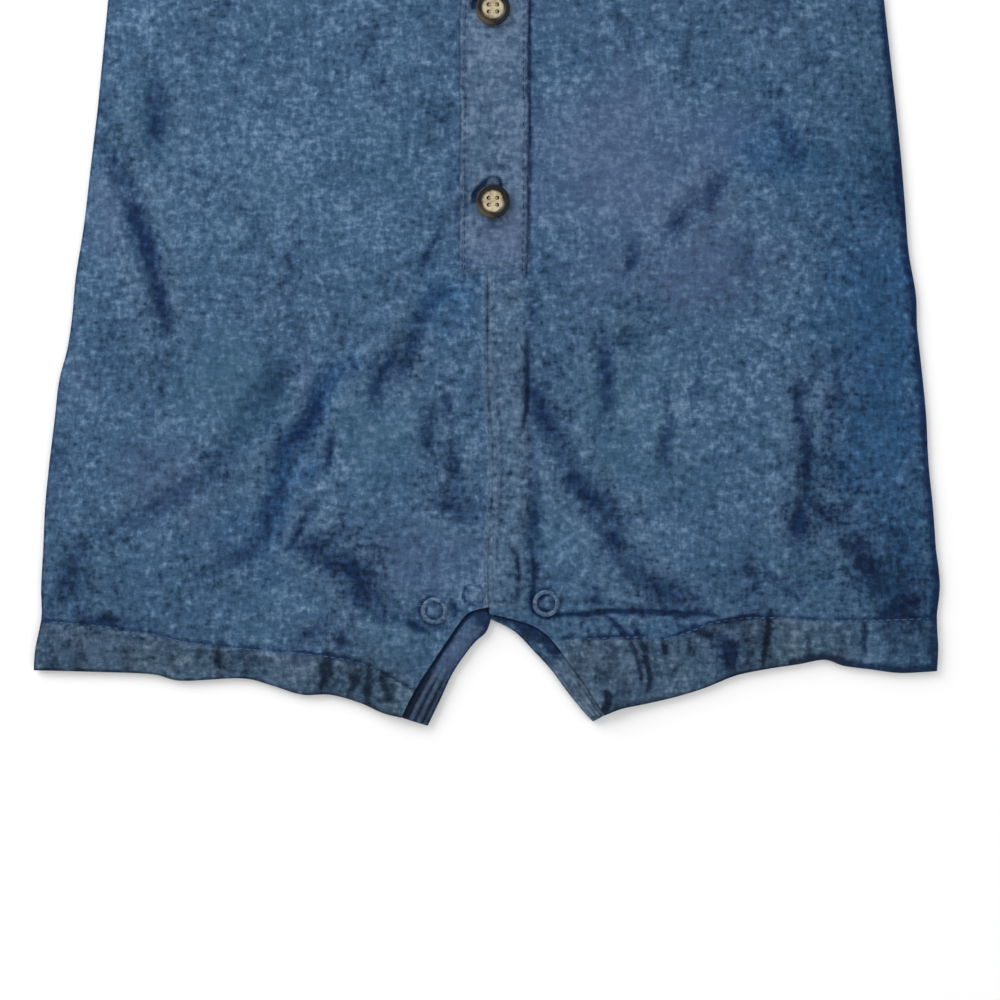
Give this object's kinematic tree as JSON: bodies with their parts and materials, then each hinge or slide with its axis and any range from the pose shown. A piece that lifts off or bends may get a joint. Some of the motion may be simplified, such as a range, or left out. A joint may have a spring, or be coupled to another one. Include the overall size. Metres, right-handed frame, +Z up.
{
  "type": "baby romper",
  "caption": "Short baby romper in blue chambray with a buttoned placket, snap inseam, hemmed legs and short sleeves, laid flat on its back.",
  "frame": {"origin": "on the surface the garment lies on, under the middle of its outline box", "axes": "+Z up off the surface, +Y towards the neck, +X towards the wearer's left"},
  "size_m": [0.3712, 0.424, 0.0088],
  "materials": {
    "chambray": "woven indigo and white cotton chambray",
    "button": "polished polyester horn, dark marbled rim",
    "snap": "satin blue enamel"
  },
  "bodies": {
    "root": {"back_panel": "chambray", "front_right": "chambray", "front_left": "chambray", "underlap_right": "chambray", "underlap_left": "chambray", "sleeve_right": "chambray", "sleeve_left": "chambray", "neck_binding_front_right": "chambray", "neck_binding_front_left": "chambray", "neck_binding_back": "chambray", "placket": "chambray", "button_1": "button", "button_2": "button", "button_3": "button", "button_4": "button", "snap_ring_right": "snap", "snap_ring_left": "snap"}
  },
  "joints": []
}
